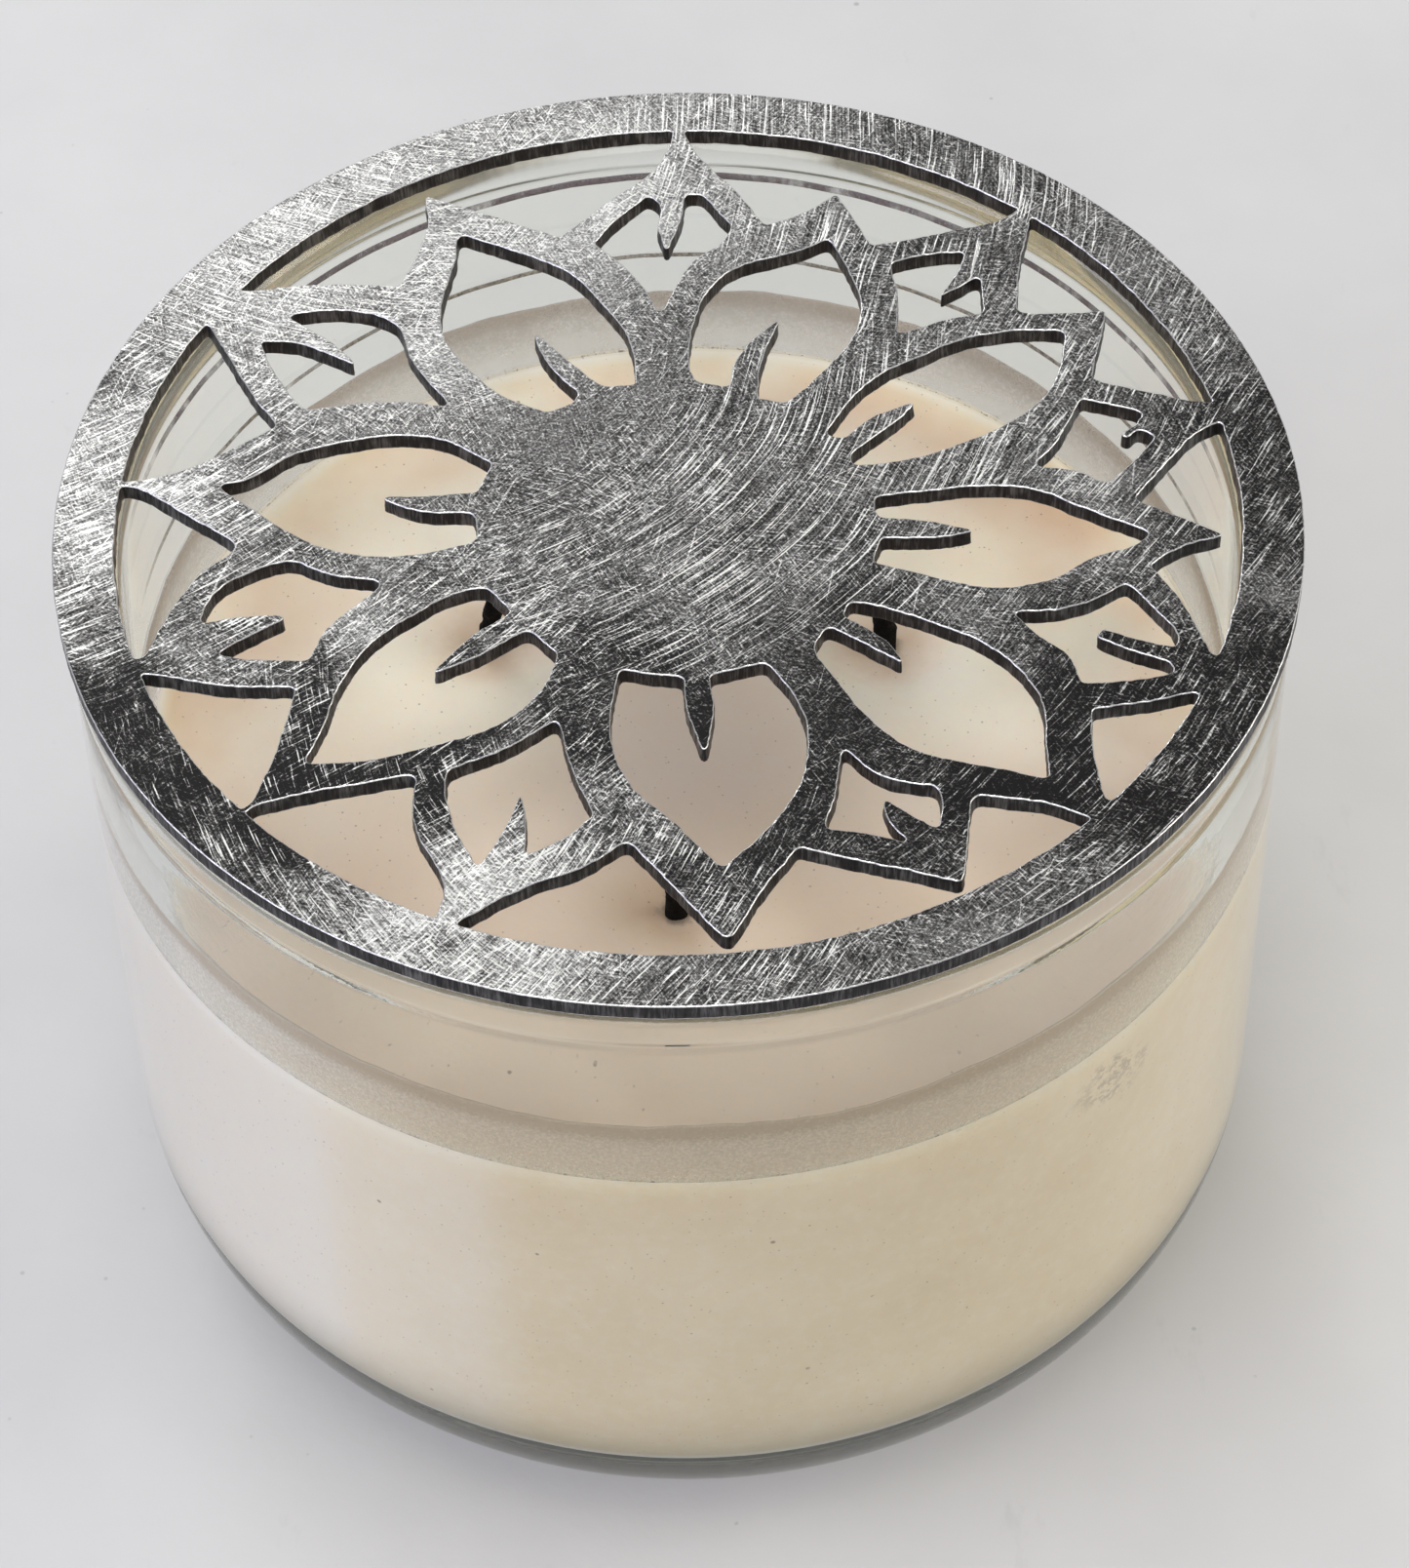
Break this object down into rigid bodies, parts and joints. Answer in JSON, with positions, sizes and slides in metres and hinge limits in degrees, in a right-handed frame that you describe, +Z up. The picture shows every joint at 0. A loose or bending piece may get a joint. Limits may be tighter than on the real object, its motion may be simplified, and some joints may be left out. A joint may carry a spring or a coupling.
{
  "type": "jar candle",
  "caption": "Round candle in a thick clear glass jar: cream wax, charred wicks and a loose flat sheet-steel topper pierced with a sunflower.",
  "frame": {"origin": "centre of the jar's foot, on the table", "axes": "+Z up along the jar's axis; +X to the right and +Y away from someone facing the sunflower with its free pointed petal nearest them"},
  "size_m": [0.103, 0.103, 0.0793],
  "materials": {
    "clear_glass": "clear, fire polished",
    "cream_wax": "soft satin wax",
    "charred_wick": "charred braided cotton",
    "tinned_steel": "tin plated sheet",
    "sticker_foam": "adhesive foam dot",
    "ground_steel": "bare steel, ground with crossing scratches"
  },
  "bodies": {
    "jar": {"glass_jar": "clear_glass", "wax_fill": "cream_wax", "wick_1": "charred_wick", "wick_2": "charred_wick", "wick_3": "charred_wick", "wick_tab_1": "tinned_steel", "wick_tab_2": "tinned_steel", "wick_tab_3": "tinned_steel", "wick_sticker_1": "sticker_foam", "wick_sticker_2": "sticker_foam", "wick_sticker_3": "sticker_foam"},
    "topper": {"sunflower_topper": "ground_steel"}
  },
  "joints": [
    {"name": "topper_lift", "type": "slide", "parent": "jar", "child": "topper", "axis": [0, 0, 1], "range_m": [0, 0.08]}
  ]
}
